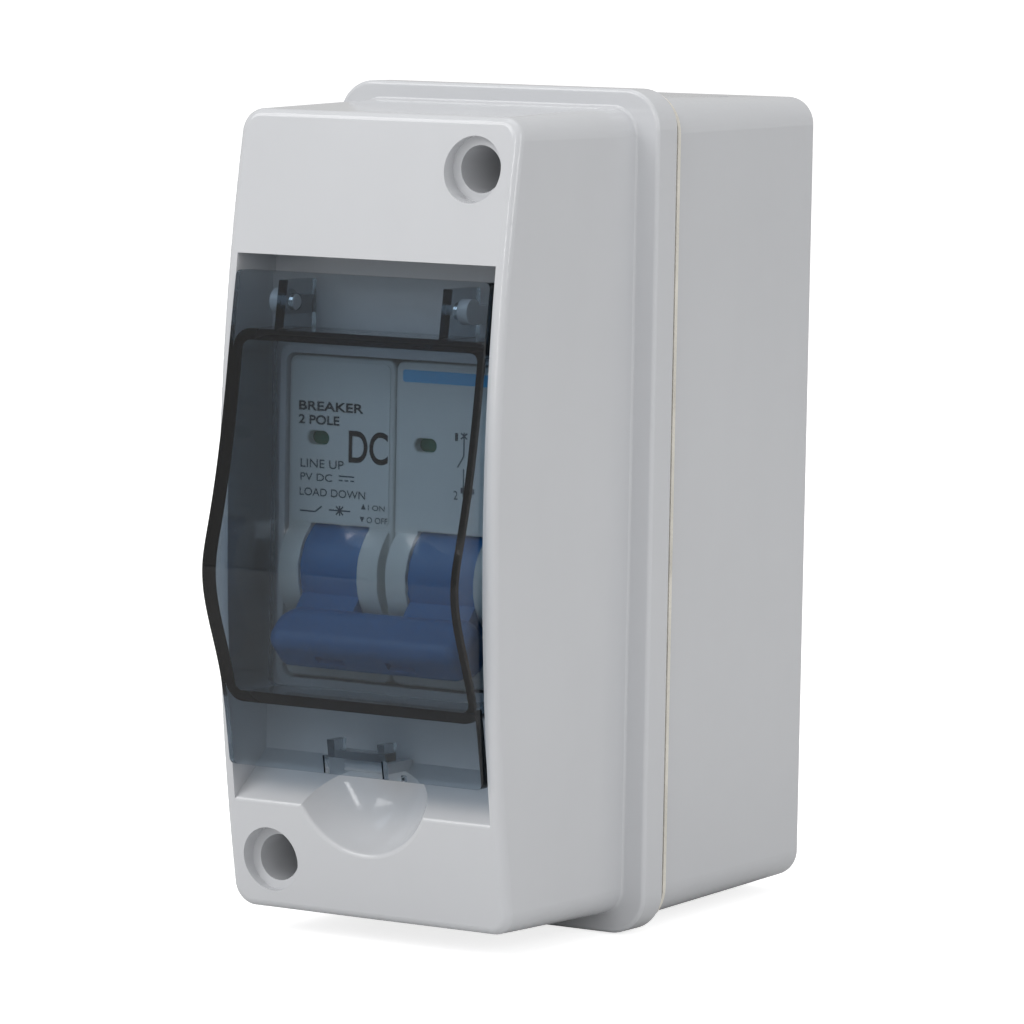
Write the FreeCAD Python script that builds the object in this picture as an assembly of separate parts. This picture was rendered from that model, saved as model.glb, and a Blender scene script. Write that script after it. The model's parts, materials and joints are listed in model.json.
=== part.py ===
import FreeCAD, Part
import math
import os

# Two-pole DC combiner box for a wall: a moulded base, a screwed-on cover with a hinged
# smoked window, a DIN rail and a two-pole breaker with its switching and tripping parts.
# Millimetres. X to the viewer's right, Y into the wall, Z up. The origin is the centre of
# the back face, so everything in front of the wall has negative Y.

V = FreeCAD.Vector

# ---- driving dimensions -------------------------------------------------------------------
WALL = 2.0                      # housing wall
JOINT_Y = -46.2                 # rear edge of the cover's flange
SEAL_GAP = 1.6                  # base rim to flange, filled by the gasket

BASE_REAR = (23.3, 58.0, 4.0)   # half width, half height, corner radius at the wall
BASE_RIM = (25.6, 58.6, 5.0)    # the same at the rim
FLANGE = (27.0, 59.9, 5.6)
FLANGE_DEPTH = 5.0
BODY_ROOT = (23.4, 57.3, 4.0)   # cover body where it leaves the flange
BODY_FACE = (23.2, 56.4, 3.2)   # cover body at the corners of its face
BEYOND_FACE_Y = -94.0           # clear in front of the cover, for shapes that are trimmed to it
FACE_CORNER_Y = -80.7          # face at the top and bottom edge
FACE_CROWN = 5.7                # how far the curved face rises to its middle
FACE_MID_Z = 1.6
FACE_EDGE_R = 1.3

SCREW_X, SCREW_Z = 16.1, 49.2   # cover screws, on one diagonal
WALL_HOLE_R = 2.25              # wall screws, on the other diagonal
KNOCKOUT_R = 8.25
KNOCKOUT_X = 11.0
KNOCKOUT_Y = -21.0

RECESS_HW = 21.4               # window recess
RECESS_TOP, RECESS_BOTTOM = 36.3, -40.8
RECESS_FLOOR_Y = -74.8
RAMP_FOOT_Z = -34.3
SCOOP_R, SCOOP_Z, SCOOP_DEPTH = 11.0, -36.5, 7.5

POLE_PITCH = 18.0
POLE_W = 17.8
BREAKER_Z = -0.8                # middle of the breaker and of the rail
BREAKER_HALF_H = 40.0
NOSE_HALF_H = 22.5
RAIL_Y = -15.4                  # rail's front plane, where the breaker seats
SHOULDER_Y = RAIL_Y - 44.0
NOSE_Y = RAIL_Y - 60.0
BREAKER_REAR_Y = -11.1
SHELL = 1.3

RAIL_H, RAIL_D, RAIL_T, RAIL_LEN = 35.0, 7.5, 1.0, 40.0
RAIL_CHANNEL = 27.0
RAIL_SCREW_X = 13.0

TOGGLE_Y, TOGGLE_Z = -70.5, -8.5    # handle axis
TOGGLE_R, TOGGLE_HW = 7.5, 4.8
TOGGLE_SLOT_UP, TOGGLE_SLOT_DOWN = 6.6, 7.7     # slot in the nose's face, from the axis
CHEEK_R = 7.9
HANDLE_REST_DEG = 44.0              # handle hangs this far below level when off
BAR_HALF_LEN = 16.0

ARM_Y, ARM_Z, ARM_LEN = -48.6, -3.0, 18.0   # moving contact
ARM_OPEN_DEG = 16.0
TERMINAL_OFFSET_Z = 33.3            # terminal screws from the breaker's middle
BUS_FRONT_Y, BUS_T = -45.8, 1.2     # copper tongue that the cage clamps against

DOOR_HW = 21.05
DOOR_T = 1.8
DOOR_OUTLINE = [(-85.0, 34.0), (-86.5, 23.8), (-88.3, 11.5), (-91.2, -1.5), (-92.4, -7.2),
                (-90.7, -14.8), (-87.7, -22.6), (-86.2, -29.0), (-85.0, -35.6)]
RIM_TOP, RIM_BOTTOM, RIM_T, RIM_REAR_Y = 25.8, -26.4, 1.6, -76.3
HINGE_Y, HINGE_Z, HINGE_PEG_R = -81.1, 29.6, 1.15
HINGE_ARM_X = (12.9, 14.4)
HINGE_EAR_X = (14.75, 16.35)
HINGE_EAR_R = 1.8
FIT = 0.05                          # radial clearance of a running fit

os.makedirs("parts", exist_ok=True)


# ---- helpers ------------------------------------------------------------------------------
def box(x0, x1, y0, y1, z0, z1):
    return Part.makeBox(x1 - x0, y1 - y0, z1 - z0, V(x0, y0, z0))


def rod_x(y, z, r, x0, x1):
    return Part.makeCylinder(r, x1 - x0, V(x0, y, z), V(1, 0, 0))


def rod_y(x, z, r, y0, y1):
    return Part.makeCylinder(r, y1 - y0, V(x, y0, z), V(0, 1, 0))


def rod_z(x, y, r, z0, z1):
    return Part.makeCylinder(r, z1 - z0, V(x, y, z0), V(0, 0, 1))


def prism_x(points, x0, x1):
    """A polygon of (y, z) points, extruded from x0 to x1."""
    ring = [V(x0, y, z) for y, z in points]
    face = Part.Face(Part.makePolygon(ring + ring[:1]))
    return face.extrude(V(x1 - x0, 0, 0))


def round_rect(half_w, half_h, r, y, z_mid=0.0):
    """A rounded rectangle, square to Y."""
    edges = []
    for sx, sz, start in ((1, 1, 0), (-1, 1, 90), (-1, -1, 180), (1, -1, 270)):
        cx, cz = sx * (half_w - r), z_mid + sz * (half_h - r)
        on_arc = [V(cx + r * math.cos(math.radians(a)), y, cz + r * math.sin(math.radians(a)))
                  for a in (start, start + 45, start + 90)]
        if edges:
            edges.append(Part.LineSegment(last, on_arc[0]).toShape())
        else:
            first = on_arc[0]
        edges.append(Part.Arc(*on_arc).toShape())
        last = on_arc[2]
    edges.append(Part.LineSegment(last, first).toShape())
    return Part.Wire(edges)


def plate_y(half_w, half_h, r, y0, y1, z_mid=0.0):
    """A rounded rectangular block from y0 to y1."""
    return Part.Face(round_rect(half_w, half_h, r, y0, z_mid)).extrude(V(0, y1 - y0, 0))


def taper_y(at0, y0, at1, y1, inset=0.0):
    """A block whose rounded rectangle changes from at0 at y0 to at1 at y1."""
    wires = [round_rect(w - inset, h - inset, max(r - inset, 0.8), y)
             for (w, h, r), y in ((at0, y0), (at1, y1))]
    return Part.makeLoft(wires, True, True)


def fuse(shapes):
    shapes = list(shapes)
    whole = shapes[0].multiFuse(shapes[1:]) if len(shapes) > 1 else shapes[0]
    return whole.removeSplitter()


def turned(shape, y, z, degrees):
    """The shape turned about the line along X through (y, z); positive lifts its front."""
    out = shape.copy()
    out.rotate(V(0, y, z), V(-1, 0, 0), degrees)
    return out


def mirrored(shape):
    """The shape and its mirror image in the plane x = 0."""
    return [shape, shape.mirror(V(0, 0, 0), V(1, 0, 0))]


def save(name, *solids):
    shape = solids[0] if len(solids) == 1 else Part.makeCompound(list(solids))
    shape.exportStep("parts/" + name + ".step")


# ---- housing ------------------------------------------------------------------------------
FACE_R = ((BODY_FACE[1] ** 2 + FACE_CROWN ** 2) / (2 * FACE_CROWN))
FACE_CENTRE_Y = FACE_CORNER_Y - FACE_CROWN + FACE_R
FLANGE_FRONT_Y = JOINT_Y - FLANGE_DEPTH
BASE_RIM_Y = JOINT_Y + SEAL_GAP


def face_y(z):
    """Depth of the cover's curved face at height z."""
    return FACE_CENTRE_Y - math.sqrt(FACE_R ** 2 - (z - FACE_MID_Z) ** 2)


def behind_face(inset=0.0):
    """Everything behind the curved face, or behind a surface that lies inset behind it."""
    return rod_x(FACE_CENTRE_Y, FACE_MID_Z, FACE_R - inset, -40, 40)


def screw_places():
    return ((SCREW_X, SCREW_Z), (-SCREW_X, -SCREW_Z))


def wall_hole_places():
    return ((-SCREW_X, SCREW_Z), (SCREW_X, -SCREW_Z))


def base_box():
    pilot_r, boss_r = 1.5, 3.9
    floor_y = -WALL
    body = taper_y(BASE_REAR, 0, BASE_RIM, BASE_RIM_Y)
    rear_edges = [e for e in body.Edges if e.BoundBox.YMin > -0.01]
    body = body.makeFillet(1.2, rear_edges)
    inside = taper_y(BASE_REAR, floor_y, BASE_RIM, BASE_RIM_Y - 1, inset=WALL)
    body = body.cut(inside)
    posts = [rod_y(x, z, boss_r, BASE_RIM_Y + 1.0, floor_y) for x, z in screw_places()]
    posts += [rod_y(x, z, 4.6, -4.0, floor_y) for x, z in wall_hole_places()]
    posts += [rod_y(s * RAIL_SCREW_X, BREAKER_Z, 3.6, RAIL_Y + RAIL_D, floor_y) for s in (-1, 1)]
    body = fuse([body] + posts)
    cuts = [rod_y(x, z, pilot_r, BASE_RIM_Y, -6.0) for x, z in screw_places()]
    cuts += [rod_y(x, z, WALL_HOLE_R, -5, 1) for x, z in wall_hole_places()]
    cuts += [rod_y(s * RAIL_SCREW_X, BREAKER_Z, 1.6, RAIL_Y + RAIL_D - 1, -2.6) for s in (-1, 1)]
    for end in (-1, 1):
        for side in (-1, 1):
            cuts.append(knockout_groove(side * KNOCKOUT_X, end))
    return body.cut(fuse(cuts))


def knockout_groove(x, end):
    """The thin ring round a cable knockout in the top (end = 1) or bottom wall."""
    depth, width = 1.2, 0.8
    slope = (BASE_RIM[1] - BASE_REAR[1]) / -BASE_RIM_Y
    surface_z = BASE_REAR[1] - slope * KNOCKOUT_Y
    ring = rod_z(x, KNOCKOUT_Y, KNOCKOUT_R, surface_z - depth, surface_z + 2)
    ring = ring.cut(rod_z(x, KNOCKOUT_Y, KNOCKOUT_R - width, surface_z - 5, surface_z + 5))
    return ring if end > 0 else ring.mirror(V(0, 0, 0), V(0, 0, 1))


def base_gasket():
    """Foam seal squeezed between the base rim and the flange; its lip shows all round."""
    lip, lip_t, core_inset = 1.1, 0.75, 0.3
    front_y, lip_front = JOINT_Y + 0.05, BASE_RIM_Y - lip_t
    rim_w, rim_h, rim_r = BASE_RIM
    core = plate_y(rim_w - core_inset, rim_h - core_inset, rim_r, front_y, BASE_RIM_Y)
    ring = core.fuse(plate_y(rim_w + lip, rim_h + lip, rim_r + lip, lip_front, BASE_RIM_Y))
    hole = plate_y(rim_w - WALL + 0.3, rim_h - WALL + 0.3, rim_r - 1.5, front_y - 1, BASE_RIM_Y + 1)
    return ring.cut(hole)


def cover_body(inset, front_inset, rear_y):
    """The tapered body behind the curved face, from rear_y forward, shrunk by the insets."""
    reach = (BEYOND_FACE_Y - FLANGE_FRONT_Y) / (FACE_CORNER_Y - FLANGE_FRONT_Y)
    tip = tuple(a + (b - a) * reach for a, b in zip(BODY_ROOT, BODY_FACE))
    return taper_y(BODY_ROOT, rear_y, tip, BEYOND_FACE_Y, inset).common(behind_face(front_inset))


def front_edges(shape, y):
    """Edges that lie wholly in front of the plane at y."""
    return [e for e in shape.Edges if e.BoundBox.YMax < y]


def cover_shell():
    """Flange and tapered body with the curved face, hollow behind."""
    flange_r, edge_r, foot_r = 0.6, FACE_EDGE_R, 0.4
    flange = plate_y(*FLANGE, FLANGE_FRONT_Y, JOINT_Y)
    flange = flange.makeFillet(flange_r, front_edges(flange, FLANGE_FRONT_Y + 0.01))
    body = cover_body(0, 0, FLANGE_FRONT_Y + 1)
    body = body.makeFillet(edge_r, front_edges(body, FACE_CORNER_Y + 0.5))
    whole = fuse([flange, body])
    foot = [e for e in whole.Edges
            if abs(e.BoundBox.YMin - FLANGE_FRONT_Y) < 0.02 and e.BoundBox.YLength < 0.02
            and max(e.BoundBox.XMax, -e.BoundBox.XMin) < BODY_ROOT[0] + 0.1]
    whole = whole.makeFillet(foot_r, foot)
    return whole.cut(cover_body(WALL - 0.4, WALL, JOINT_Y + 1))


def window_tub():
    """Block that carries the walls and the floor of the window recess."""
    return box(-RECESS_HW - 2, RECESS_HW + 2, BEYOND_FACE_Y, RECESS_FLOOR_Y + WALL,
               RECESS_BOTTOM - 4, RECESS_TOP + WALL)


def scoop_ball(grow):
    """The ball that hollows out the thumb scoop, grown by grow."""
    ball_r = (SCOOP_R ** 2 + SCOOP_DEPTH ** 2) / (2 * SCOOP_DEPTH)
    ball_y = face_y(RECESS_BOTTOM) + SCOOP_DEPTH - ball_r
    return Part.makeSphere(ball_r + grow, V(0, ball_y, SCOOP_Z))


def recess_cut():
    """What is taken out in front of the recess floor: the recess, its ramp and the scoop."""
    front = -97.0
    room = prism_x([(front, RECESS_TOP), (RECESS_FLOOR_Y, RECESS_TOP), (RECESS_FLOOR_Y, RAMP_FOOT_Z),
                    (face_y(RECESS_BOTTOM), RECESS_BOTTOM), (front, RECESS_BOTTOM)],
                   -RECESS_HW, RECESS_HW)
    return room.fuse(scoop_ball(0))


def nose_frame():
    """Raised frame round the nose opening, 1 mm proud of the recess floor."""
    outer = plate_y(19.5, 24.2, 2.2, RECESS_FLOOR_Y - 1.0, RECESS_FLOOR_Y + 0.5, BREAKER_Z)
    return outer.makeFillet(0.4, front_edges(outer, RECESS_FLOOR_Y - 0.99))


def hinge_ear():
    """One ear on the recess floor with the moulded peg that the door's arm turns on."""
    x0, x1 = HINGE_EAR_X
    above = 0.8                     # the web is kept low, so the open door clears it
    web = box(x0, x1, HINGE_Y, RECESS_FLOOR_Y + 0.5, HINGE_Z - HINGE_EAR_R, HINGE_Z + above)
    eye = rod_x(HINGE_Y, HINGE_Z, HINGE_EAR_R, x0, x1)
    peg_end = HINGE_ARM_X[0] - 0.1
    peg = rod_x(HINGE_Y, HINGE_Z, HINGE_PEG_R, peg_end, x1)
    peg = peg.makeChamfer(0.2, [e for e in peg.Edges if e.BoundBox.XMax < x0])
    return fuse([web, eye, peg])


def latch_catch():
    """Rounded tongue under the door's hook."""
    tongue = box(-3.6, 3.6, -81.8, -75.0, -35.2, -33.7)
    return tongue.makeFillet(0.6, front_edges(tongue, -81.7))


HEAD_SEAT_Y = -57.6             # where the cover screws' heads rest, deep in their tubes


def nose_opening():
    return plate_y(18.2, NOSE_HALF_H + 0.3, 1.4, BEYOND_FACE_Y, -60, BREAKER_Z)


def front_cover():
    tube_r, counterbore_r, counterbore_depth, bore_r, shank_r = 6.2, 4.6, 2.3, 3.3, 1.9
    tubes = [rod_y(x, z, tube_r, face_y(z) + 1.5, JOINT_Y + 1.5) for x, z in screw_places()]
    backing = scoop_ball(WALL).common(box(-14, 14, -82, -60, -52, -34))
    trim = cover_body(0.7, 0.7, FLANGE_FRONT_Y + 1)
    trim = trim.fuse(plate_y(24, 57, 4, FLANGE_FRONT_Y, JOINT_Y + 1.2))
    added = fuse([window_tub(), backing] + tubes).common(trim)
    body = fuse([cover_shell(), added]).cut(recess_cut())
    body = round_lip(body).cut(nose_opening())
    body = fuse([body, nose_frame().cut(nose_opening()), latch_catch()] + mirrored(hinge_ear()))
    cuts = []
    for x, z in screw_places():
        near = face_y(z)
        cuts.append(rod_y(x, z, counterbore_r, near - 2, near + counterbore_depth))
        cuts.append(rod_y(x, z, bore_r, near - 2, HEAD_SEAT_Y))
        cuts.append(rod_y(x, z, shank_r, near - 2, JOINT_Y + 3))
    return body.cut(fuse(cuts))


def round_lip(body):
    """Rounds the edge where the ramp and the thumb scoop meet the face."""
    lip = []
    for edge in body.Edges:
        mid = edge.valueAt((edge.FirstParameter + edge.LastParameter) / 2)
        on_face = abs(mid.y - face_y(mid.z)) < 0.02
        if on_face and abs(mid.x) < RECESS_HW - 0.5 and mid.z < RECESS_BOTTOM + 0.1:
            lip.append(edge)
    return body.makeFillet(0.7, lip)


def cover_screw(x, z):
    """Pan-head self-tapping screw that holds the cover to the base post."""
    head_y = HEAD_SEAT_Y
    head = rod_y(x, z, 2.9, head_y - 2.2, head_y)
    head = head.makeFillet(0.7, front_edges(head, head_y - 2.1))
    shank = rod_y(x, z, 1.5, head_y - 0.1, -22.0)
    tip = Part.makeCone(1.5, 0.3, 3.0, V(x, -22.0, z), V(0, 1, 0))
    screw = fuse([head, shank, tip])
    cross = box(x - 1.7, x + 1.7, head_y - 3, head_y - 1.0, z - 0.35, z + 0.35)
    cross = cross.fuse(box(x - 0.35, x + 0.35, head_y - 3, head_y - 1.0, z - 1.7, z + 1.7))
    return screw.cut(cross)


# ---- window door --------------------------------------------------------------------------
def door_profile(shift, x0, x1, rear_y):
    """Prism between the door's outline, moved back by shift, and the plane y = rear_y."""
    curve = Part.BSplineCurve()
    curve.interpolate([V(x0, y + shift, z) for y, z in DOOR_OUTLINE])
    top_y, top_z = DOOR_OUTLINE[0]
    low_y, low_z = DOOR_OUTLINE[-1]
    corners = [V(x0, low_y + shift, low_z), V(x0, rear_y, low_z), V(x0, rear_y, top_z),
               V(x0, top_y + shift, top_z)]
    wire = Part.Wire([curve.toShape()] + Part.makePolygon(corners).Edges)
    return Part.Face(wire).extrude(V(x1 - x0, 0, 0))


def window_door():
    top_z, low_z = DOOR_OUTLINE[0][1], DOOR_OUTLINE[-1][1]
    mid_z, half_h = (top_z + low_z) / 2, (top_z - low_z) / 2
    solid = door_profile(0, -DOOR_HW, DOOR_HW, -70)
    corners = plate_y(DOOR_HW, half_h, 0.8, -97, -65, mid_z)
    skin = solid.cut(door_profile(DOOR_T, -30, 30, -60)).common(corners)
    rim_mid, rim_half = (RIM_TOP + RIM_BOTTOM) / 2, (RIM_TOP - RIM_BOTTOM) / 2
    rim = plate_y(DOOR_HW, rim_half, 2.6, -97, RIM_REAR_Y, rim_mid)
    rim = rim.cut(plate_y(DOOR_HW - RIM_T, rim_half - RIM_T, 1.2, -98, RIM_REAR_Y + 1, rim_mid))
    rim = rim.common(door_profile(0.6, -DOOR_HW, DOOR_HW, -70))
    arm_x0, arm_x1 = HINGE_ARM_X
    arm = prism_x([(-84.6, RIM_TOP - 0.4), (-76.4, RIM_TOP - 0.4), (-76.4, 32.7), (-84.2, 32.7)],
                  arm_x0, arm_x1)
    arm = arm.cut(rod_x(HINGE_Y, HINGE_Z, HINGE_PEG_R + FIT, 10, 16))
    hook = fuse([box(-4.8, 4.8, -84.4, -81.0, -33.2, -32.1),
                 box(-4.8, -3.6, -84.4, -81.0, -33.2, -30.7),
                 box(3.6, 4.8, -84.4, -81.0, -33.2, -30.7)])
    door = fuse([skin, rim, hook] + mirrored(arm))
    slit = 0.25
    slits = [box(s * 4.9 - slit / 2, s * 4.9 + slit / 2, -92, -81.6, low_z - 1, -33.0) for s in (-1, 1)]
    tick = box(7.9, 8.4, -92, -84.0, low_z - 0.1, low_z + 0.9)
    return door.cut(fuse(slits + [tick]))


# ---- rail ---------------------------------------------------------------------------------
def din_rail():
    """Top-hat rail: two lips in front, a channel behind them, slots for the screws."""
    front, rear, t = RAIL_Y, RAIL_Y + RAIL_D, RAIL_T
    lip, ch = RAIL_H / 2, RAIL_CHANNEL / 2
    half = [(front, lip), (front + t, lip), (front + t, ch), (rear, ch)]
    inner = [(rear - t, ch - t), (front, ch - t)]
    outline = half + [(y, -z) for y, z in reversed(half)] + [(y, -z) for y, z in reversed(inner)] + inner
    rail = prism_x([(y, z + BREAKER_Z) for y, z in outline], -RAIL_LEN / 2, RAIL_LEN / 2)
    edges = [e for e in rail.Edges if e.BoundBox.XLength > RAIL_LEN - 0.1
             and abs(abs(e.BoundBox.ZMin - BREAKER_Z) - ch) < 0.01]
    rail = rail.makeFillet(0.5, edges)
    for side in (-1, 1):
        x = side * RAIL_SCREW_X
        slot = fuse([rod_y(x + d, BREAKER_Z, 2.3, rear - 3, rear + 1) for d in (-2, 2)]
                    + [box(x - 2, x + 2, rear - 3, rear + 1, BREAKER_Z - 2.3, BREAKER_Z + 2.3)])
        rail = rail.cut(slot)
    return rail


def rail_screw(side):
    web_y = RAIL_Y + RAIL_D - RAIL_T
    x = side * RAIL_SCREW_X
    head = rod_y(x, BREAKER_Z, 3.6, web_y - 2.2, web_y)
    head = head.makeFillet(0.8, front_edges(head, web_y - 2.1))
    shank = rod_y(x, BREAKER_Z, 1.6, web_y - 0.1, -2.8)
    cross = box(x - 2, x + 2, web_y - 3, web_y - 1.2, BREAKER_Z - 0.4, BREAKER_Z + 0.4)
    return fuse([head, shank]).cut(cross)


# ---- breaker: casing ----------------------------------------------------------------------
RIVET_PLACES = ((-19.8, 35.8), (-19.8, -37.4), (-61.9, 18.3), (-61.9, -20.0))
WINDOW_X, WINDOW_Z = -3.8, 10.2      # indicator window, from the pole's middle
WINDOW_HW, WINDOW_R = 0.8, 1.0


def window_hole(cx, grow, y0, y1):
    """The obround indicator window, grown by grow all round."""
    x, r = cx + WINDOW_X, WINDOW_R + grow
    return fuse([rod_y(x - WINDOW_HW, WINDOW_Z, r, y0, y1), rod_y(x + WINDOW_HW, WINDOW_Z, r, y0, y1),
                 box(x - WINDOW_HW, x + WINDOW_HW, y0, y1, WINDOW_Z - r, WINDOW_Z + r)])


def pole_outline():
    low, high = BREAKER_Z - BREAKER_HALF_H, BREAKER_Z + BREAKER_HALF_H
    nose_low, nose_high = BREAKER_Z - NOSE_HALF_H, BREAKER_Z + NOSE_HALF_H
    hook_y, hook_z = RAIL_Y + RAIL_T + 0.2, BREAKER_Z + RAIL_H / 2
    return [(SHOULDER_Y, high), (SHOULDER_Y, nose_high), (NOSE_Y, nose_high), (NOSE_Y, nose_low),
            (SHOULDER_Y, nose_low), (SHOULDER_Y, low), (BREAKER_REAR_Y, low),
            (BREAKER_REAR_Y, BREAKER_Z - RAIL_H / 2 - 0.8), (RAIL_Y, BREAKER_Z - RAIL_H / 2 - 0.8),
            (RAIL_Y, hook_z + 0.3), (hook_y, hook_z + 0.3), (hook_y, hook_z - 1.7),
            (BREAKER_REAR_Y, hook_z - 1.7), (BREAKER_REAR_Y, high)]


def terminal_z(end):
    return BREAKER_Z + end * TERMINAL_OFFSET_Z


def pole_casing(cx):
    """The whole casing of one pole, hollow, before it is split into its two shells."""
    hw = POLE_W / 2
    x0, x1 = cx - hw, cx + hw
    body = prism_x(pole_outline(), x0, x1)
    corners = [e for e in body.Edges if e.BoundBox.YMax < SHOULDER_Y + 0.01 and e.BoundBox.YLength > 10]
    body = body.makeFillet(1.3, corners)
    body = body.makeFillet(0.4, front_edges(body, NOSE_Y + 0.01))
    cheeks = rod_x(TOGGLE_Y, TOGGLE_Z, CHEEK_R, x0 + 0.6, x1 - 0.6)
    body = body.fuse(cheeks)
    in0, in1 = x0 + SHELL, x1 - SHELL
    low, high = BREAKER_Z - BREAKER_HALF_H + SHELL, BREAKER_Z + BREAKER_HALF_H - SHELL
    nose_low, nose_high = BREAKER_Z - NOSE_HALF_H + SHELL, BREAKER_Z + NOSE_HALF_H - SHELL
    hollow = fuse([box(in0, in1, SHOULDER_Y + SHELL, RAIL_Y - SHELL, low, high),
                   box(in0, in1, NOSE_Y + SHELL, SHOULDER_Y + SHELL, nose_low, nose_high)])
    keep = [rod_x(y, z, 2.7, x0, x1) for y, z in RIVET_PLACES]
    for end in (-1, 1):
        z = terminal_z(end)
        keep.append(box(in0, in1, -54.1, -52.9, z - 5.6, z + 5.6))
    body = body.cut(hollow.cut(fuse(keep)))
    slot0, slot1 = cx - TOGGLE_HW - 0.15, cx + TOGGLE_HW + 0.15
    cuts = [rod_x(TOGGLE_Y, TOGGLE_Z, TOGGLE_R + 0.3, slot0, slot1),
            box(slot0, slot1, TOGGLE_Y - CHEEK_R - 1, NOSE_Y + SHELL + 0.5,
                TOGGLE_Z - TOGGLE_SLOT_DOWN, TOGGLE_Z + TOGGLE_SLOT_UP),
            window_hole(cx, 0, NOSE_Y - 1, NOSE_Y + SHELL + 1)]
    clip_y0, clip_y1, clip_hw = -14.45, BREAKER_REAR_Y + 1, 3.2
    cuts.append(box(cx - clip_hw, cx + clip_hw, clip_y0, clip_y1, -50, BREAKER_Z - 16))
    for end in (-1, 1):
        z = terminal_z(end)
        wall = BREAKER_Z + end * BREAKER_HALF_H
        cuts.append(rod_y(cx, z, 3.6, SHOULDER_Y - 1, -55.6))
        cuts.append(rod_y(cx, z, 2.75, -55.6, -51.6))
        cuts.append(box(cx - 4.3, cx + 4.3, -44.4, -35.6, wall - 2, wall + 2))
    cuts += [rod_x(y, z, 1.5, x0 - 1, x1 + 1) for y, z in RIVET_PLACES]
    cuts += [rod_x(y, z, r, cx - 8.2, cx + 8.2) for y, z, r in PIVOTS]
    return body.cut(fuse(cuts))


PIVOTS = ((TOGGLE_Y, TOGGLE_Z, 1.3), (ARM_Y, ARM_Z, 1.2))


def pole_shells(cx):
    """Left and right shell, parted at the pole's middle."""
    whole = pole_casing(cx)
    left = whole.common(box(cx - 20, cx, -100, 0, -60, 60))
    right = whole.common(box(cx, cx + 20, -100, 0, -60, 60))
    return left, right


def rivets(cx):
    hw = POLE_W / 2
    out = []
    for y, z in RIVET_PLACES:
        pin = rod_x(y, z, 1.5, cx - hw - 0.05, cx + hw + 0.05)
        out.append(pin.cut(rod_x(y, z, 0.8, cx - hw - 1, cx - hw + 2)))
    return out


def pivot_pins(cx):
    return [rod_x(y, z, r, cx - 8.2, cx + 8.2) for y, z, r in PIVOTS]


def label_plate(cx):
    """Thin printed plate on the upper part of the nose."""
    top, low = BREAKER_Z + NOSE_HALF_H - 0.7, -1.7
    half_w, mid, half_h = POLE_W / 2 - 0.7, (top + low) / 2, (top - low) / 2
    plate = plate_y(half_w, half_h, 0.8, NOSE_Y - 0.15, NOSE_Y, mid)
    plate.translate(V(cx, 0, 0))
    return plate.cut(window_hole(cx, 0.1, NOSE_Y - 1, NOSE_Y + 1))


# ---- breaker: handle ----------------------------------------------------------------------
def radial(points):
    """(along, across) points of the handle, from its axis, as (y, z) points at rest."""
    down = math.radians(HANDLE_REST_DEG)
    c, s = math.cos(down), math.sin(down)
    return [(TOGGLE_Y - a * c - t * s, TOGGLE_Z - a * s + t * c) for a, t in points]


LEVER = [(4, 2.9), (14.4, 2.2), (14.4, -1.7), (4, -1.7)]


def toggle(cx):
    x0, x1 = cx - TOGGLE_HW, cx + TOGGLE_HW
    drum = rod_x(TOGGLE_Y, TOGGLE_Z, TOGGLE_R, x0, x1)
    shape = fuse([drum, prism_x(radial(LEVER), x0, x1)])
    return shape.cut(rod_x(TOGGLE_Y, TOGGLE_Z, 1.3 + FIT, x0 - 1, x1 + 1))


def tie_bar():
    """Sleeve that joins the two levers, with rounded ends and two small sealing slots."""
    in_r, out_r, low, high = 8.9, 16.2, -2.8, 3.4
    bar = box(-BAR_HALF_LEN, BAR_HALF_LEN, TOGGLE_Y - out_r, TOGGLE_Y - in_r,
              TOGGLE_Z + low, TOGGLE_Z + high)
    upright = [e for e in bar.Edges if e.BoundBox.ZLength > 1]
    outer = [e for e in upright if e.BoundBox.YMin < TOGGLE_Y - out_r + 0.1]
    bar = bar.makeFillet(2.4, outer)
    inner = [e for e in bar.Edges if e.BoundBox.ZLength > 1 and e.BoundBox.YMin > TOGGLE_Y - in_r - 0.1]
    bar = bar.makeFillet(3.5, inner)
    bar = bar.makeFillet(2.1, [e for e in bar.Edges if e.BoundBox.ZMin > TOGGLE_Z + high - 0.01])
    bar = bar.makeFillet(1.2, [e for e in bar.Edges if e.BoundBox.ZMax < TOGGLE_Z + low + 0.01])
    bar = turned(bar, TOGGLE_Y, TOGGLE_Z, -HANDLE_REST_DEG)
    heel = radial([(in_r - 1, -0.6), (in_r, -0.6), (10.6, low - 0.2), (in_r - 1, low - 0.2)])
    pockets = [prism_x(heel, -20, 20)]
    for cx in (-POLE_PITCH / 2, POLE_PITCH / 2):
        x0, x1 = cx - TOGGLE_HW, cx + TOGGLE_HW
        pockets.append(prism_x(radial(LEVER), x0, x1))
    for x in (-5.9, 5.9):
        seal = [(out_r - 0.8, 0.6), (out_r + 1, 0.6), (out_r + 1, -1.0), (out_r - 0.8, -1.0)]
        pockets.append(prism_x(radial(seal), x - 2.3, x + 2.3))
    return bar.cut(fuse(pockets))


# ---- breaker: current path and mechanism --------------------------------------------------
FIXED_BUTTON_Z = ARM_Z + ARM_LEN - 1.6


def line_contact(cx):
    """Copper tongue of the upper terminal with the fixed contact button."""
    bar = box(cx - 2.4, cx + 2.4, BUS_FRONT_Y, BUS_FRONT_Y + BUS_T, 9.0, 37.2)
    button = rod_y(cx, FIXED_BUTTON_Z, 1.8, BUS_FRONT_Y - 0.7, BUS_FRONT_Y)
    return fuse([bar, button])


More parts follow.
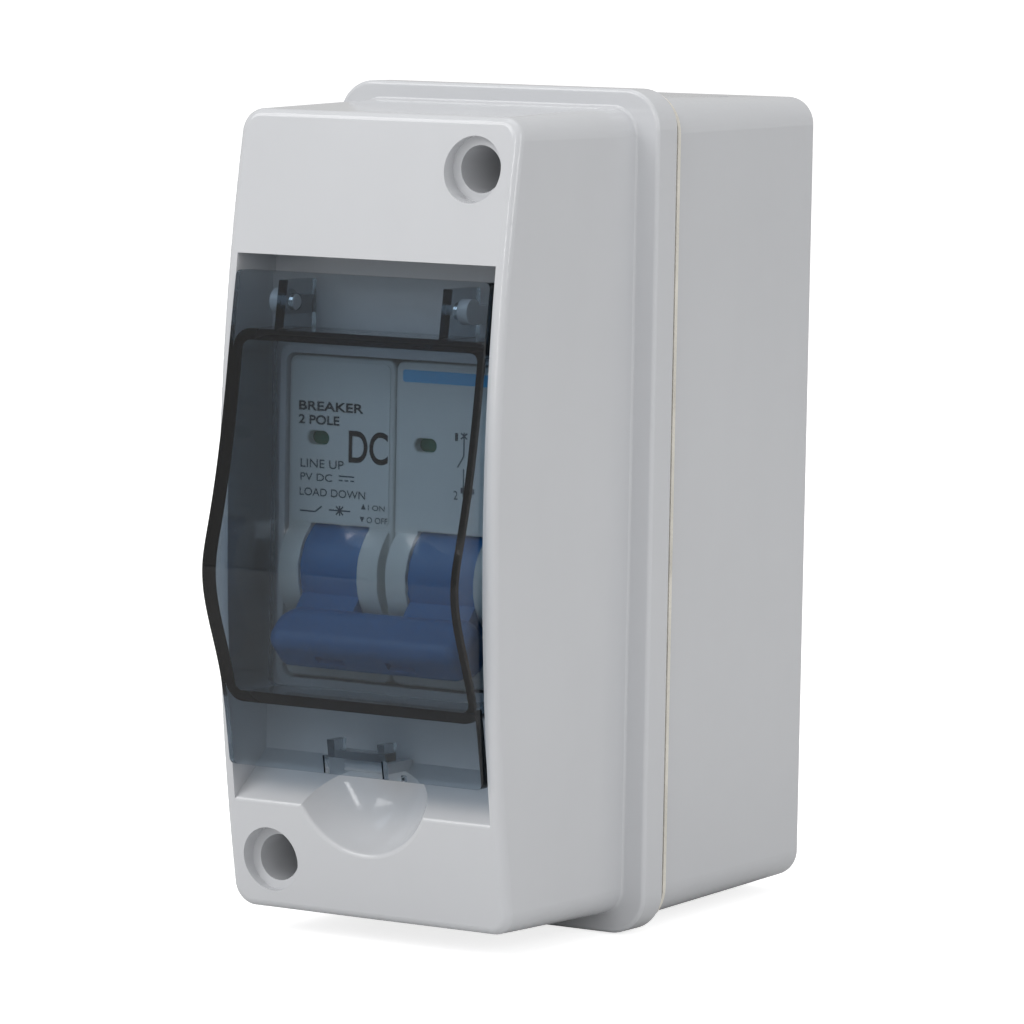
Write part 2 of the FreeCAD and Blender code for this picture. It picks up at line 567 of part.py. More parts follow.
def moving_contact(cx):
    """Contact arm, drawn closed and then opened by its travel."""
    arm = box(cx - 1.6, cx + 1.6, ARM_Y - 0.8, ARM_Y + 0.8, ARM_Z, ARM_Z + ARM_LEN)
    hub = rod_x(ARM_Y, ARM_Z, 2.6, cx - 2.6, cx + 2.6)
    button = rod_y(cx, FIXED_BUTTON_Z, 1.7, ARM_Y, BUS_FRONT_Y - 0.75)
    shape = fuse([arm, hub, button]).cut(rod_x(ARM_Y, ARM_Z, 1.2 + FIT, cx - 5, cx + 5))
    return turned(shape, ARM_Y, ARM_Z, -ARM_OPEN_DEG)


def arc_chute(cx):
    """Stack of notched steel plates that splits the arc."""
    plates = []
    for i in range(7):
        z = 6.0 + 2.3 * i
        plate = box(cx - 6.4, cx + 6.4, -43.2, -22.6, z, z + 1.0)
        notch = Part.Face(Part.makePolygon([V(cx - 2.6, -43.6, z - 1), V(cx + 2.6, -43.6, z - 1),
                                            V(cx, -35.6, z - 1), V(cx - 2.6, -43.6, z - 1)]))
        plates.append(plate.cut(notch.extrude(V(0, 0, 3))))
    return plates


COIL_Y, COIL_LOW, COIL_HIGH = -34.6, -19.0, -4.0


def trip_coil(cx):
    """Solenoid: bobbin with turns of wire."""
    tube = rod_z(cx, COIL_Y, 3.2, COIL_LOW, COIL_HIGH)
    ends = [rod_z(cx, COIL_Y, 5.6, z, z + 1.0) for z in (COIL_LOW, COIL_HIGH - 1.0)]
    turns = []
    count, wire_r = 6, 1.0
    first, last = COIL_LOW + 2.1, COIL_HIGH - 2.1
    for i in range(count):
        z = first + (last - first) * i / (count - 1)
        turns.append(Part.makeTorus(4.1, wire_r, V(cx, COIL_Y, z), V(0, 0, 1)))
    return fuse([tube] + ends + turns).cut(rod_z(cx, COIL_Y, 1.9, COIL_LOW - 1, COIL_HIGH + 1))


def trip_plunger(cx):
    """Armature and striker pin in the coil's bore."""
    core = rod_z(cx, COIL_Y, 1.85, COIL_LOW + 1, COIL_HIGH - 5)
    striker = rod_z(cx, COIL_Y, 0.9, COIL_HIGH - 6, COIL_HIGH + 2.5)
    return fuse([core, striker])


def load_bar(cx):
    """Copper tongue of the lower terminal, turned up at its inner end for the bimetal."""
    bar = box(cx - 2.4, cx + 2.4, BUS_FRONT_Y, BUS_FRONT_Y + BUS_T, -38.8, -26.0)
    foot = box(cx - 2.4, cx + 2.4, -48.6, BUS_FRONT_Y, -27.2, -26.0)
    return fuse([bar, foot])


def bimetal(cx):
    return box(cx - 2.2, cx + 2.2, -48.6, -47.7, -26.0, -8.0)


def indicator_flag(cx):
    """Slide behind the indicator window, with a stem down to the handle's drum."""
    x = cx + WINDOW_X
    flag = box(x - 2.3, x + 2.3, -73.8, -72.9, 7.6, 16.6)
    stem = box(x - 0.9, x + 0.9, -73.8, -72.9, 4.2, 8.0)
    return fuse([flag, stem])


CAGE_HW, CAGE_HH = 5.0, 4.2


def terminal_cage(cx, end):
    """Rising clamp: the screw's thread runs in its front wall, the wire lies in its window."""
    z = terminal_z(end)
    cage = box(cx - CAGE_HW, cx + CAGE_HW, -48.5, -34.0, z - CAGE_HH, z + CAGE_HH)
    edges = [e for e in cage.Edges if e.BoundBox.ZLength > 1]
    cage = cage.makeFillet(0.8, edges)
    window = box(cx - 3.9, cx + 3.9, -46.4, -35.6, z - 10, z + 10)
    return cage.cut(window).cut(rod_y(cx, z, 2.5 + FIT, -52, -45))


def terminal_screw(cx, end):
    z = terminal_z(end)
    head = rod_y(cx, z, 3.3, -57.2, -54.4)
    head = head.makeFillet(0.4, front_edges(head, -57.1))
    shank = rod_y(cx, z, 2.5, -54.6, -46.1)
    slot = box(cx - 4, cx + 4, -58.6, -55.8, z - 0.5, z + 0.5)
    cross = box(cx - 0.5, cx + 0.5, -58.6, -55.8, z - 2.2, z + 2.2)
    return fuse([head, shank]).cut(slot).cut(cross)


def rail_clip(cx):
    """Sliding foot that hooks the rail's lower lip, with a pull slot at its end."""
    body = box(cx - 2.95, cx + 2.95, -14.2, -11.4, -44.6, -19.4)
    tip = prism_x([(-14.2, -16.4), (-13.2, -16.4), (-11.4, -18.6), (-11.4, -19.6), (-14.2, -19.6)],
                  cx - 2.95, cx + 2.95)
    slot = box(cx - 1.6, cx + 1.6, -15.6, -9.6, -43.6, -41.9)
    return fuse([body, tip]).cut(slot)


# ---- all parts ----------------------------------------------------------------------------
def main():
    save("base_box", base_box())
    save("base_gasket", base_gasket())
    save("front_cover", front_cover())
    save("cover_screws", *[cover_screw(x, z) for x, z in screw_places()])
    save("window_door", window_door())
    save("din_rail", din_rail())
    save("rail_screws", *[rail_screw(s) for s in (-1, 1)])
    save("handle_tie_bar", tie_bar())
    for pole, cx in ((1, -POLE_PITCH / 2), (2, POLE_PITCH / 2)):
        tag = "breaker_%d_" % pole
        left, right = pole_shells(cx)
        save(tag + "left_shell", left)
        save(tag + "right_shell", right)
        save(tag + "rivets", *rivets(cx))
        save(tag + "pivot_pins", *pivot_pins(cx))
        save(tag + "label_plate", label_plate(cx))
        save(tag + "toggle", toggle(cx))
        save(tag + "indicator_flag", indicator_flag(cx))
        save(tag + "line_contact", line_contact(cx))
        save(tag + "moving_contact", moving_contact(cx))
        save(tag + "arc_chute", *arc_chute(cx))
        save(tag + "trip_coil", trip_coil(cx))
        save(tag + "trip_plunger", trip_plunger(cx))
        save(tag + "load_bar", load_bar(cx))
        save(tag + "bimetal", bimetal(cx))
        save(tag + "rail_clip", rail_clip(cx))
        for end, side in ((1, "upper"), (-1, "lower")):
            save(tag + side + "_cage", terminal_cage(cx, end))
            save(tag + side + "_screw", terminal_screw(cx, end))


main()
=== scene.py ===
"""Looks of the DC combiner box: materials, the printed marks on the breaker, light and camera.

Lengths are in metres, in the frame of the CAD part: X to the viewer's right, Y into the wall,
Z up, origin at the centre of the back face. The printed marks are laid out in millimetres from
the lower left corner of their plate.
"""
import json
import math

import bmesh
import bpy
from mathutils import Matrix, Vector


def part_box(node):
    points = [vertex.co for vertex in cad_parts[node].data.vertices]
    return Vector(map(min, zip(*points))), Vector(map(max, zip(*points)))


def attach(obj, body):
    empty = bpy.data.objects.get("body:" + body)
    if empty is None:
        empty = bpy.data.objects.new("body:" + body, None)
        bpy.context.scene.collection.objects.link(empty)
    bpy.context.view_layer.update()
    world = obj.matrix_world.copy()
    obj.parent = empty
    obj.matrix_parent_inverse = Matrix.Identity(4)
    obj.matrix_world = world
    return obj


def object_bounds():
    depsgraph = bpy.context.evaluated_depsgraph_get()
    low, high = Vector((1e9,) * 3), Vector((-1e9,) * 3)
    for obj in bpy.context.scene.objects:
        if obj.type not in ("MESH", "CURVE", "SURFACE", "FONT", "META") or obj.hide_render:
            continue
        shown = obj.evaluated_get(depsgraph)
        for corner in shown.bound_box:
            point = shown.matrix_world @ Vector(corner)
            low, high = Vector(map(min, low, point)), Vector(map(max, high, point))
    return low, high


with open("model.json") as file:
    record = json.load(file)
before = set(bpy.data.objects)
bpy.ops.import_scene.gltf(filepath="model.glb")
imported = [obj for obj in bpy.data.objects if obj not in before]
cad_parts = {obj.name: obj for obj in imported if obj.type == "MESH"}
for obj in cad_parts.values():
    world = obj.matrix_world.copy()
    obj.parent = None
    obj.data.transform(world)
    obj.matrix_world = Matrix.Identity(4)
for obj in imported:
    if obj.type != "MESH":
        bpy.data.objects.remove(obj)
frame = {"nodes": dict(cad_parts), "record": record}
cad_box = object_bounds()
MM = 0.001


def add_object(name, data):
    """An object of the scene that holds a mesh, a curve, a lamp or a camera."""
    made = bpy.data.objects.new(name, data)
    bpy.context.scene.collection.objects.link(made)
    return made


# ---- node helpers -------------------------------------------------------------------------
def new_material(name):
    """An empty material: its tree, its Principled shader and its output."""
    mat = bpy.data.materials.new(name)
    mat.use_nodes = True
    tree = mat.node_tree
    tree.nodes.clear()
    out = tree.nodes.new("ShaderNodeOutputMaterial")
    shader = tree.nodes.new("ShaderNodeBsdfPrincipled")
    tree.links.new(shader.outputs["BSDF"], out.inputs["Surface"])
    return mat, tree, shader, out


def place(tree, stretch=(1, 1, 1)):
    """Object coordinates, which are metres in the part's frame, stretched per axis."""
    coords = tree.nodes.new("ShaderNodeTexCoord")
    mapping = tree.nodes.new("ShaderNodeMapping")
    mapping.inputs["Scale"].default_value = stretch
    tree.links.new(coords.outputs["Object"], mapping.inputs["Vector"])
    return mapping.outputs["Vector"]


def noise(tree, vector, size, detail=3.0, roughness=0.5):
    """Noise whose blobs are about size metres across."""
    node = tree.nodes.new("ShaderNodeTexNoise")
    node.inputs["Scale"].default_value = 1.0 / size
    node.inputs["Detail"].default_value = detail
    node.inputs["Roughness"].default_value = roughness
    tree.links.new(vector, node.inputs["Vector"])
    return node.outputs["Fac"]


def remap(tree, value, low, high, from_low=0.3, from_high=0.7):
    """The value, taken from one range to another and held inside it."""
    node = tree.nodes.new("ShaderNodeMapRange")
    tree.links.new(value, node.inputs["Value"])
    node.inputs["From Min"].default_value = from_low
    node.inputs["From Max"].default_value = from_high
    node.inputs["To Min"].default_value = low
    node.inputs["To Max"].default_value = high
    return node.outputs["Result"]


def blend_colours(tree, factor, first, second):
    """A colour between two, by a factor."""
    node = tree.nodes.new("ShaderNodeMix")
    node.data_type = "RGBA"
    tree.links.new(factor, node.inputs["Factor"])
    for socket, colour in ((node.inputs["A"], first), (node.inputs["B"], second)):
        if isinstance(colour, tuple):
            socket.default_value = (*colour, 1.0)
        else:
            tree.links.new(colour, socket)
    return node.outputs["Result"]


def combine(tree, operation, *values):
    """The result of a math node on plain numbers and sockets."""
    node = tree.nodes.new("ShaderNodeMath")
    node.operation = operation
    for socket, value in zip(node.inputs, values):
        if isinstance(value, (int, float)):
            socket.default_value = value
        else:
            tree.links.new(value, socket)
    return node.outputs["Value"]


def bump(tree, shader, height, depth):
    """Bends the shader's normal by a height from 0 to 1, depth metres deep."""
    node = tree.nodes.new("ShaderNodeBump")
    node.inputs["Strength"].default_value = 1.0
    node.inputs["Distance"].default_value = depth
    tree.links.new(height, node.inputs["Height"])
    tree.links.new(node.outputs["Normal"], shader.inputs["Normal"])


def shade(colour, by):
    """The colour made lighter or darker."""
    return tuple(min(1.0, c * by) for c in colour)


# ---- materials ----------------------------------------------------------------------------
CLOUD_SIZE, FLOW_SIZE = 22 * MM, 6 * MM         # faint unevenness of a moulding
FLOW_STRETCH, FLOW_SHARE = (1, 1, 0.25), 0.35
PATCH_SIZE = 4 * MM                             # dull patches of a metal
FOAM_CELL, FOAM_DEPTH = 0.45 * MM, 0.12 * MM
WINDOW_BODY, WINDOW_DENSITY = (0.52, 0.59, 0.64, 1.0), 820.0
WINDOW_SURFACE = (0.96, 0.98, 1.0, 1.0)
WINDOW_SHADOW = (0.62, 0.68, 0.73, 1.0)
FLAG_GREEN, FLAG_RED = (0.035, 0.16, 0.085), (0.45, 0.03, 0.02)
FLAG_RED_H = 4.1 * MM                           # height of the red field at the flag's top

# name: colour, roughness, size of the grain, depth of the grain, spread of the tone
PLASTICS = {
    "housing_grey": ((0.60, 0.61, 0.63), 0.09, 0.35 * MM, 0.004 * MM, 0.015),
    "toggle_blue": ((0.024, 0.145, 0.37), 0.4, 0.5 * MM, 0.012 * MM, 0.06),
    "breaker_grey": ((0.65, 0.66, 0.64), 0.42, 0.3 * MM, 0.015 * MM, 0.04),
    "label_white": ((0.69, 0.71, 0.70), 0.36, 0.6 * MM, 0.006 * MM, 0.02),
    "clip_plastic": ((0.74, 0.73, 0.70), 0.45, 0.4 * MM, 0.01 * MM, 0.04),
    "print_grey": ((0.10, 0.11, 0.12), 0.5, 0.2 * MM, 0.004 * MM, 0.15),
    "stripe_blue": ((0.10, 0.44, 0.78), 0.4, 0.4 * MM, 0.005 * MM, 0.05),
}
# name: colour, roughness, size of the streaks, depth of the streaks, their stretch per axis
METALS = {
    "zinc_steel": ((0.66, 0.66, 0.64), 0.33, 0.4 * MM, 0.008 * MM, (1, 1, 0.2)),
    "pin_steel": ((0.50, 0.50, 0.51), 0.3, 0.3 * MM, 0.006 * MM, (0.2, 1, 1)),
    "copper": ((0.80, 0.42, 0.27), 0.28, 0.4 * MM, 0.006 * MM, (1, 1, 0.2)),
    "bimetal_steel": ((0.60, 0.55, 0.48), 0.35, 0.4 * MM, 0.006 * MM, (1, 1, 1)),
}


def moulded_plastic(name, colour, rough, grain, depth, spread):
    """Injection-moulded plastic: fine spark-eroded grain, faint clouds of tone and gloss."""
    mat, tree, shader, _ = new_material(name)
    where = place(tree)
    clouds = noise(tree, where, CLOUD_SIZE, 4.0, 0.55)
    flow = noise(tree, place(tree, FLOW_STRETCH), FLOW_SIZE)
    tone = remap(tree, combine(tree, "MULTIPLY_ADD", flow, FLOW_SHARE, clouds), 0, 1, 0.4, 0.95)
    colour_now = blend_colours(tree, tone, shade(colour, 1 - spread), shade(colour, 1 + spread))
    tree.links.new(colour_now, shader.inputs["Base Color"])
    tree.links.new(remap(tree, clouds, rough * 0.86, rough * 1.16), shader.inputs["Roughness"])
    bump(tree, shader, noise(tree, where, grain, 4.0, 0.6), depth)
    return mat


def plated_metal(name, colour, rough, grain, depth, stretch):
    """Bare or plated metal: rolled or drawn streaks and dull patches."""
    mat, tree, shader, _ = new_material(name)
    patches = noise(tree, place(tree), PATCH_SIZE, 4.0, 0.6)
    tone = remap(tree, patches, 0, 1)
    tree.links.new(blend_colours(tree, tone, shade(colour, 0.8), shade(colour, 1.1)),
                   shader.inputs["Base Color"])
    shader.inputs["Metallic"].default_value = 1.0
    tree.links.new(remap(tree, patches, rough * 1.3, rough * 0.75), shader.inputs["Roughness"])
    bump(tree, shader, noise(tree, place(tree, stretch), grain), depth)
    return mat


def foam(name, colour):
    """Closed-cell sealing foam."""
    mat, tree, shader, _ = new_material(name)
    where = place(tree)
    cells = tree.nodes.new("ShaderNodeTexVoronoi")
    cells.inputs["Scale"].default_value = 1 / FOAM_CELL
    tree.links.new(where, cells.inputs["Vector"])
    tint = remap(tree, noise(tree, where, 6 * MM), 0, 1)
    tree.links.new(blend_colours(tree, tint, shade(colour, 0.85), shade(colour, 1.08)),
                   shader.inputs["Base Color"])
    shader.inputs["Roughness"].default_value = 0.85
    bump(tree, shader, cells.outputs["Distance"], FOAM_DEPTH)
    return mat


def smoked_window(name):
    """Clear smoked plastic: tinted through its thickness, so ribs seen along look almost black."""
    mat, tree, shader, out = new_material(name)
    where = place(tree)
    haze = noise(tree, where, 12 * MM, 5.0, 0.65)
    shader.inputs["Base Color"].default_value = WINDOW_SURFACE
    shader.inputs["Transmission Weight"].default_value = 1.0
    shader.inputs["IOR"].default_value = 1.49
    tree.links.new(remap(tree, haze, 0.02, 0.07), shader.inputs["Roughness"])
    bump(tree, shader, noise(tree, where, 20 * MM, 2.0), 0.02 * MM)
    light_path = tree.nodes.new("ShaderNodeLightPath")
    clear = tree.nodes.new("ShaderNodeBsdfTransparent")
    clear.inputs["Color"].default_value = WINDOW_SHADOW
    pick = tree.nodes.new("ShaderNodeMixShader")
    tree.links.new(light_path.outputs["Is Shadow Ray"], pick.inputs["Fac"])
    tree.links.new(shader.outputs["BSDF"], pick.inputs[1])
    tree.links.new(clear.outputs["BSDF"], pick.inputs[2])
    tree.links.new(pick.outputs["Shader"], out.inputs["Surface"])
    body = tree.nodes.new("ShaderNodeVolumeAbsorption")
    body.inputs["Color"].default_value = WINDOW_BODY
    body.inputs["Density"].default_value = WINDOW_DENSITY
    tree.links.new(body.outputs["Volume"], out.inputs["Volume"])
    return mat


def indicator_plastic(name):
    """The flag behind the indicator window: green, with the red field above it."""
    mat, tree, shader, _ = new_material(name)
    where = place(tree)
    split = tree.nodes.new("ShaderNodeSeparateXYZ")
    tree.links.new(where, split.inputs["Vector"])
    border_z = float(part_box("breaker_1_indicator_flag")[1].z) - FLAG_RED_H
    above = combine(tree, "GREATER_THAN", split.outputs["Z"], border_z)
    speck = remap(tree, noise(tree, where, 0.6 * MM), 0, 1)
    fields = [blend_colours(tree, speck, shade(colour, 0.85), shade(colour, 1.15))
              for colour in (FLAG_GREEN, FLAG_RED)]
    tree.links.new(blend_colours(tree, above, *fields), shader.inputs["Base Color"])
    shader.inputs["Roughness"].default_value = 0.4
    return mat


def make_materials():
    """Every material by its name; the CAD nodes' ones have the names of the record's slots."""
    made = {name: moulded_plastic(name, *look) for name, look in PLASTICS.items()}
    made.update({name: plated_metal(name, *look) for name, look in METALS.items()})
    made["seal_foam"] = foam("seal_foam", (0.74, 0.71, 0.64))
    made["smoked_window"] = smoked_window("smoked_window")
    made["indicator_green"] = indicator_plastic("indicator_green")
    return made


def dress_cad_nodes():
    """Gives each CAD node the material of its slot in the record."""
    for entry in frame["record"]["subparts"]:
        node = frame["nodes"][entry["node"]]
        for holder in node.material_slots:
            holder.material = MATERIALS[entry["material_slot"]]


# ---- printed marks on the breaker's front plates --------------------------------------------
PRINT_T = 0.03 * MM
SYMBOL_LINE, SIGN_LINE = 0.22, 0.2              # widths of printed lines, mm
INK = ("print_grey", "label_white")             # material, and the slot of the record it is on
STRIPE = ("stripe_blue", "toggle_blue")

# text, left, right, foot, height (mm on the left plate), boldness
WORDS = (
    ("I ON", 13.0, 15.8, 2.2, 0.75, 0.0),
    ("O OFF", 12.8, 16.3, 0.4, 0.85, 0.0),
    ("BREAKER", 1.1, 12.0, 15.75, 1.3, 0.02),
    ("2 POLE", 1.1, 8.0, 13.8, 1.3, 0.02),
    ("LINE UP", 1.5, 8.8, 7.65, 1.2, 0.0),
    ("PV DC", 1.5, 6.9, 5.8, 1.05, 0.0),
    ("LOAD DOWN", 1.4, 12.5, 3.65, 1.1, 0.0),
    ("DC", 9.6, 16.2, 8.7, 4.6, 0.015),
)


def plate_point(corner, x, z, lift=0.0):
    """The point x, z millimetres from a plate's corner, lifted off its face by some metres."""
    return corner + Vector((x * MM, -lift, z * MM))


def slab(bm, outline, corner):
    """A flat closed slab of ink on a plate's face, from its outline in millimetres."""
    rear = [bm.verts.new(plate_point(corner, x, z)) for x, z in outline]
    near = [bm.verts.new(plate_point(corner, x, z, PRINT_T)) for x, z in outline]
    bm.faces.new(near)
    bm.faces.new(list(reversed(rear)))
    for i in range(len(outline)):
        j = (i + 1) % len(outline)
        bm.faces.new((near[j], near[i], rear[i], rear[j]))


def stroke(bm, start, end, width, corner):
    """A straight printed line from start to end."""
    ax, az = start
    bx, bz = end
    length = math.hypot(bx - ax, bz - az)
    nx, nz = -(bz - az) / length * width / 2, (bx - ax) / length * width / 2
    slab(bm, [(ax + nx, az + nz), (ax - nx, az - nz), (bx - nx, bz - nz), (bx + nx, bz + nz)],
         corner)


def rounded(x0, x1, z0, z1, r, steps=6):
    """Outline of a rounded rectangle."""
    points = []
    centres = ((x1 - r, z1 - r), (x0 + r, z1 - r), (x0 + r, z0 + r), (x1 - r, z0 + r))
    for quarter, (cx, cz) in enumerate(centres):
        for i in range(steps + 1):
            a = math.pi / 2 * (quarter + i / steps)
            points.append((cx + r * math.cos(a), cz + r * math.sin(a)))
    return points


def rounded_bar(corner, x0, x1, z0, z1, r):
    """A printed bar with rounded corners."""
    bm = bmesh.new()
    slab(bm, rounded(x0, x1, z0, z1, r), corner)
    return bm


def switch_symbols(corner, left, z):
    """The open-switch and the circuit-breaker symbol, side by side."""
    bm = bmesh.new()
    middle = left + 6.7
    lines = [((left, z - 0.35), (left + 2.6, z - 0.35)),
             ((left + 2.6, z - 0.35), (left + 3.7, z + 0.45)),
             ((middle - 1.8, z), (middle + 1.8, z)),
             ((middle - 0.6, z - 0.6), (middle + 0.6, z + 0.6)),
             ((middle - 0.6, z + 0.6), (middle + 0.6, z - 0.6)),
             ((middle, z - 0.7), (middle, z + 0.7))]
    for start, end in lines:
        stroke(bm, start, end, SYMBOL_LINE, corner)
    return bm


def wiring_symbol(corner, x, top, low):
    """The vertical diagram of one switched pole between its two terminals."""
    bm = rounded_bar(corner, x - 0.45, x + 0.45, low + 0.5, low + 1.3, 0.1)
    mid = (top + low) / 2
    lines = [((x, top), (x, mid + 1.2)),
             ((x, mid + 1.2), (x - 1.0, mid - 0.4)),
             ((x, mid - 0.6), (x, low)),
             ((x - 0.5, top - 0.9), (x + 0.5, top - 0.1)),
             ((x - 0.5, top - 0.1), (x + 0.5, top - 0.9))]
    for start, end in lines:
        stroke(bm, start, end, SYMBOL_LINE, corner)
    return bm


def direct_current_sign(corner, x, z, length):
    """The sign for direct current: a line over three dashes."""
    bm = bmesh.new()
    stroke(bm, (x, z), (x + length, z), SIGN_LINE, corner)
    dash = length / 4
    for i in range(3):
        left = x + i * (length - dash) / 2
        stroke(bm, (left, z - 0.6), (left + dash, z - 0.6), SIGN_LINE, corner)
    return bm


def arrowhead(corner, x, z, size, up):
    """A filled triangle that points up or down."""
    bm = bmesh.new()
    foot, tip = (z, z + size) if up else (z + size, z)
    slab(bm, [(x, foot), (x + size, foot), (x + size / 2, tip)], corner)
    return bm


def word(corner, text, x0, x1, z, height, weight=0.0):
    """A generic word as a thin mesh that fills x0 to x1 and stands height tall on z."""
    curve = bpy.data.curves.new("lettering", "FONT")
    curve.body = text
    curve.offset = weight
    holder = add_object("lettering", curve)
    bpy.context.view_layer.update()
    flat = bpy.data.meshes.new_from_object(holder)
    bpy.data.objects.remove(holder)
    xs = [v.co.x for v in flat.vertices]
    ys = [v.co.y for v in flat.vertices]
    wide, tall = (x1 - x0) / (max(xs) - min(xs)), height / (max(ys) - min(ys))
    bm = bmesh.new()
    bm.from_mesh(flat)
    for v in bm.verts:
        v.co = plate_point(corner, x0 + (v.co.x - min(xs)) * wide, z + (v.co.y - min(ys)) * tall)
    bmesh.ops.solidify(bm, geom=bm.faces[:], thickness=PRINT_T)
    nearest = min(v.co.y for v in bm.verts)
    for v in bm.verts:
        v.co.y += corner.y - PRINT_T - nearest
    return bm


def finish_mesh(bm, name, material):
    """The drawn faces as a mesh of one material, all facing outwards."""
    mesh = bpy.data.meshes.new(name)
    bmesh.ops.recalc_face_normals(bm, faces=bm.faces)
    bm.to_mesh(mesh)
    bm.free()
    mesh.materials.append(material)
    return mesh


def add_mark(name, bm, look=INK):
    """Makes a drawn mark a piece of its own, fixed to the housing."""
    material, slot = look
    piece = add_object(name, finish_mesh(bm, name, MATERIALS[material]))
    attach(piece, "housing")


def add_print():
    """All the print: words and signs on the left plate, the stripe and diagram on the right."""
    left = Vector(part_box("breaker_1_label_plate")[0])
    add_mark("mark_switches", switch_symbols(left, 1.5, 1.8))
    add_mark("mark_on_arrow", arrowhead(left, 11.8, 2.25, 0.8, True))
    add_mark("mark_off_arrow", arrowhead(left, 11.6, 0.4, 0.8, False))
    add_mark("mark_current", direct_current_sign(left, 8.0, 6.7, 2.6))
    for i, (text, *layout) in enumerate(WORDS):
        add_mark("mark_word_%d" % (i + 1), word(left, text, *layout))
    right, far = (Vector(v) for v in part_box("breaker_2_label_plate"))
    plate_w = (far.x - right.x) / MM
    add_mark("mark_stripe", rounded_bar(right, 0.55, plate_w - 0.5, 20.6, 22.3, 0.35), STRIPE)
    add_mark("mark_wiring", wiring_symbol(right, 10.8, 14.1, 5.1))
    add_mark("mark_one", word(right, "1", 9.3, 9.8, 12.9, 1.1))
    add_mark("mark_two", word(right, "2", 9.2, 9.9, 4.7, 1.2))


# ---- stage --------------------------------------------------------------------------------
VIEW_YAW, VIEW_PITCH, VIEW_ROLL = (math.radians(a) for a in (32.268, 5.668, 1.017))
EYE = Vector((0.45211, -0.76119, 0.08242))
LENS, SENSOR = 207.70, 36.0

WHITE = (1, 1, 1, 1)
FLOOR_COLOUR, FLOOR_GLOW = (0.62, 0.62, 0.62), 0.78
FLOOR_RADIUS, FLOOR_GAP = 40.0, 0.2 * MM
WORLD_LIGHT = 0.54

# name: place, point aimed at, width and height, power, lean about its own axis
SOFTBOXES = {
    "key": ((-0.7, -1.1, 0.9), (0, -0.04, 0), (0.9, 0.9), 8.8, 0.0),
    "side": ((1.6, -0.2, 0.6), (0, -0.04, 0), (0.5, 1.0), 5.5, 0.0),
    "top": ((0.0, 0.1, 1.3), (0, -0.04, 0), (1.0, 1.0), 3.4, 0.0),
    "strip": ((0.27, -1.02, 0.45), (0, -0.08, -0.04), (0.09, 1.1), 2.2, math.radians(34)),
}


def stage_material(name, colour, glow):
    """A matt paint that glows for the camera only, so that it doesn't light the part."""
    mat, tree, shader, _ = new_material(name)
    cloud = remap(tree, noise(tree, place(tree), 0.4), 0.985, 1.0)
    tint = tree.nodes.new("ShaderNodeVectorMath")
    tint.operation = "SCALE"
    tint.inputs[0].default_value = colour
    tree.links.new(cloud, tint.inputs["Scale"])
    tree.links.new(tint.outputs["Vector"], shader.inputs["Base Color"])
    shader.inputs["Roughness"].default_value = 0.9
    shader.inputs["Specular IOR Level"].default_value = 0.1
    shader.inputs["Emission Color"].default_value = WHITE
    light_path = tree.nodes.new("ShaderNodeLightPath")
    tree.links.new(combine(tree, "MULTIPLY", light_path.outputs["Is Camera Ray"], glow),
                   shader.inputs["Emission Strength"])
    return mat


def add_floor():
    """A pale round floor just under the part."""
    bm = bmesh.new()
    bmesh.ops.create_circle(bm, cap_ends=True, segments=96, radius=FLOOR_RADIUS)
    paint = stage_material("floor_white", FLOOR_COLOUR, FLOOR_GLOW)
    floor = add_object("floor", finish_mesh(bm, "floor", paint))
    floor.location.z = cad_box[0][2] - FLOOR_GAP


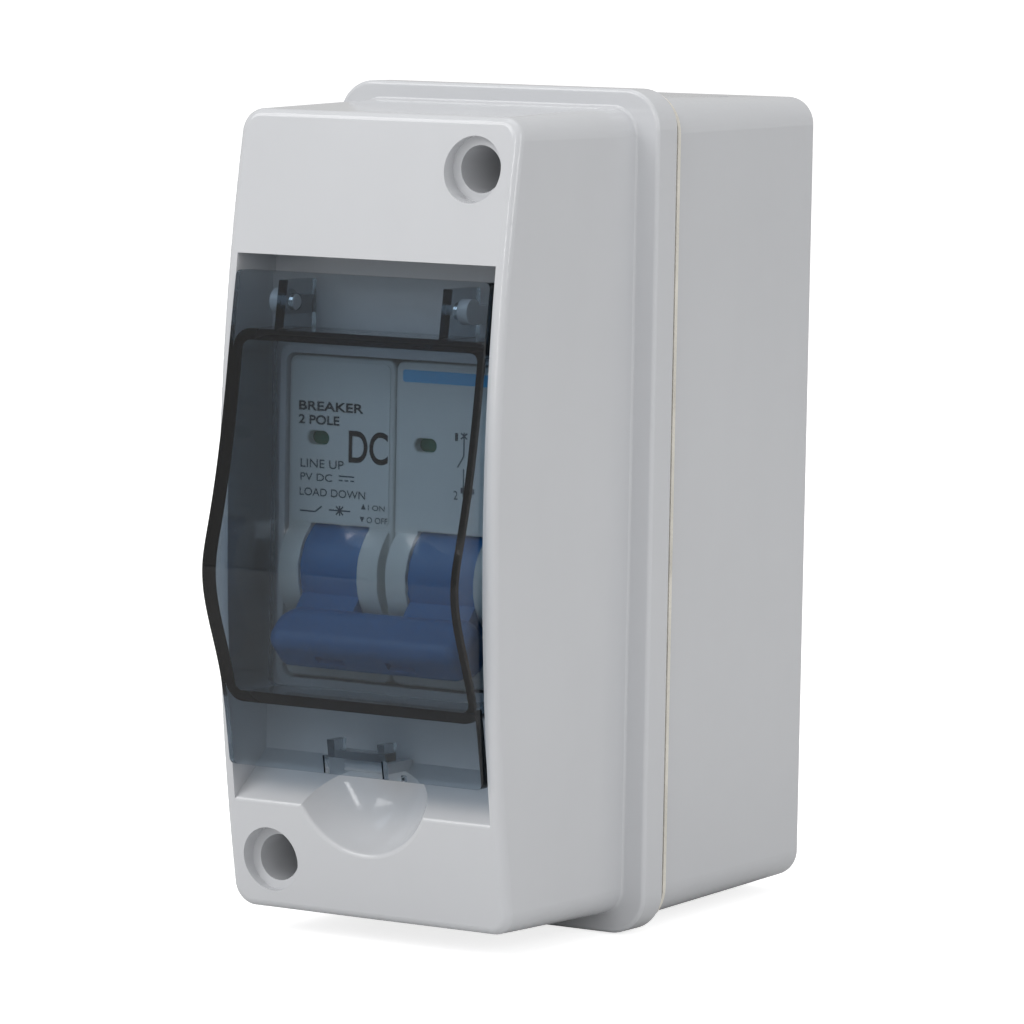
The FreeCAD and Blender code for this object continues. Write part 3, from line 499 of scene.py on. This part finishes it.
def add_world():
    """A white surround: full white to the camera, dimmer as light on the part."""
    world = bpy.data.worlds.new("studio")
    world.use_nodes = True
    tree = world.node_tree
    tree.nodes.clear()
    out = tree.nodes.new("ShaderNodeOutputWorld")
    pick = tree.nodes.new("ShaderNodeMixShader")
    light_path = tree.nodes.new("ShaderNodeLightPath")
    tree.links.new(light_path.outputs["Is Camera Ray"], pick.inputs["Fac"])
    for socket, strength in ((pick.inputs[1], WORLD_LIGHT), (pick.inputs[2], 1.0)):
        white = tree.nodes.new("ShaderNodeBackground")
        white.inputs["Color"].default_value = WHITE
        white.inputs["Strength"].default_value = strength
        tree.links.new(white.outputs["Background"], socket)
    tree.links.new(pick.outputs["Shader"], out.inputs["Surface"])
    bpy.context.scene.world = world


def add_softbox(name, at, aim, size, power, lean):
    """An area light at a place, aimed at a point and leaning over about its own axis."""
    lamp = bpy.data.lights.new(name, "AREA")
    lamp.shape = "RECTANGLE"
    lamp.size, lamp.size_y = size
    lamp.energy = power
    aimed = (Vector(aim) - Vector(at)).to_track_quat("-Z", "Y").to_matrix()
    turned = aimed @ Matrix.Rotation(lean, 3, "Z")
    add_object(name, lamp).matrix_world = Matrix.Translation(at) @ turned.to_4x4()


def add_camera():
    """The camera where the picture was taken from: a long lens, a little above, rolled a touch."""
    forward = Vector((-math.sin(VIEW_YAW) * math.cos(VIEW_PITCH),
                      math.cos(VIEW_YAW) * math.cos(VIEW_PITCH), -math.sin(VIEW_PITCH)))
    right = Vector((math.cos(VIEW_YAW), math.sin(VIEW_YAW), 0))
    up = right.cross(forward)
    tilted_right = math.cos(VIEW_ROLL) * right + math.sin(VIEW_ROLL) * up
    tilted_up = -math.sin(VIEW_ROLL) * right + math.cos(VIEW_ROLL) * up
    camera = bpy.data.cameras.new("camera")
    camera.lens = LENS
    camera.sensor_width = SENSOR
    camera.clip_start, camera.clip_end = 0.02, 100.0
    holder = add_object("camera", camera)
    axes = Matrix((tilted_right, tilted_up, -forward)).transposed()
    holder.matrix_world = Matrix.Translation(EYE) @ axes.to_4x4()
    bpy.context.scene.camera = holder


MATERIALS = make_materials()
dress_cad_nodes()
add_print()
add_floor()
add_world()
for lamp_name, setting in SOFTBOXES.items():
    add_softbox(lamp_name, *setting)
add_camera()
bpy.context.scene.view_settings.view_transform = "Standard"
